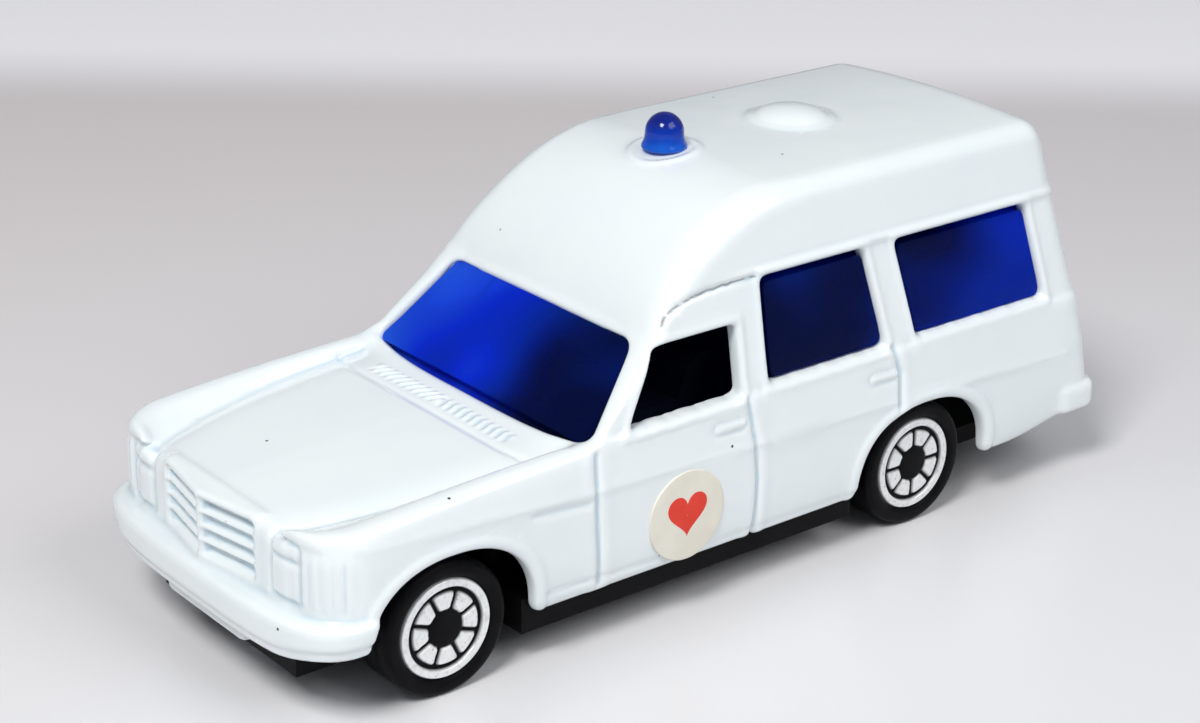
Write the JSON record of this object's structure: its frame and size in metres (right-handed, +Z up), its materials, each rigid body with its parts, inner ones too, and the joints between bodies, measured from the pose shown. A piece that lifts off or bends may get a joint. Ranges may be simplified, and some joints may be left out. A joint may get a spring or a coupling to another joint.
{
  "type": "toy ambulance",
  "caption": "Small white die-cast toy ambulance: estate car with raised roof, blue windows and beacon, free-rolling wheelsets and a top-hinged tailgate.",
  "frame": {"origin": "on the ground, in the middle of the car's length and width", "axes": "+X forward along the car, +Y to the car's left, +Z up"},
  "size_m": [0.0782, 0.0302, 0.0335],
  "materials": {
    "white_enamel": "thick gloss enamel on a zinc casting",
    "black_plastic": "moulded satin",
    "dark_blue_plastic": "moulded satin",
    "blue_glazing": "clear moulded, deep blue",
    "blue_beacon": "clear moulded, blue",
    "door_label": "printed gloss sticker",
    "axle_steel": "drawn wire",
    "wheel_plastic": "black moulded plastic with silver hot foil on the ring and pads"
  },
  "bodies": {
    "car": {"body_shell": "white_enamel", "base_plate": "black_plastic", "window_unit": "blue_glazing", "interior_tray": "dark_blue_plastic", "beacon_dome": "blue_beacon", "door_label_left": "door_label", "door_label_right": "door_label"},
    "front_wheelset": {"front_axle": "axle_steel", "front_left_wheel": "wheel_plastic", "front_right_wheel": "wheel_plastic"},
    "rear_wheelset": {"rear_axle": "axle_steel", "rear_left_wheel": "wheel_plastic", "rear_right_wheel": "wheel_plastic"},
    "tail_door": {"tailgate": "white_enamel", "tailgate_window": "blue_glazing"}
  },
  "joints": [
    {"name": "front_axle_spin", "type": "hinge", "parent": "car", "child": "front_wheelset", "pos_m": [0.02685, 0, 0.00508], "axis": [0, 1, 0], "continuous": true},
    {"name": "rear_axle_spin", "type": "hinge", "parent": "car", "child": "rear_wheelset", "pos_m": [-0.01815, 0, 0.00508], "axis": [0, 1, 0], "continuous": true},
    {"name": "tailgate_hinge", "type": "hinge", "parent": "car", "child": "tail_door", "pos_m": [-0.03369, 0, 0.02423], "axis": [0, 1, 0], "range_deg": [0, 85]}
  ]
}
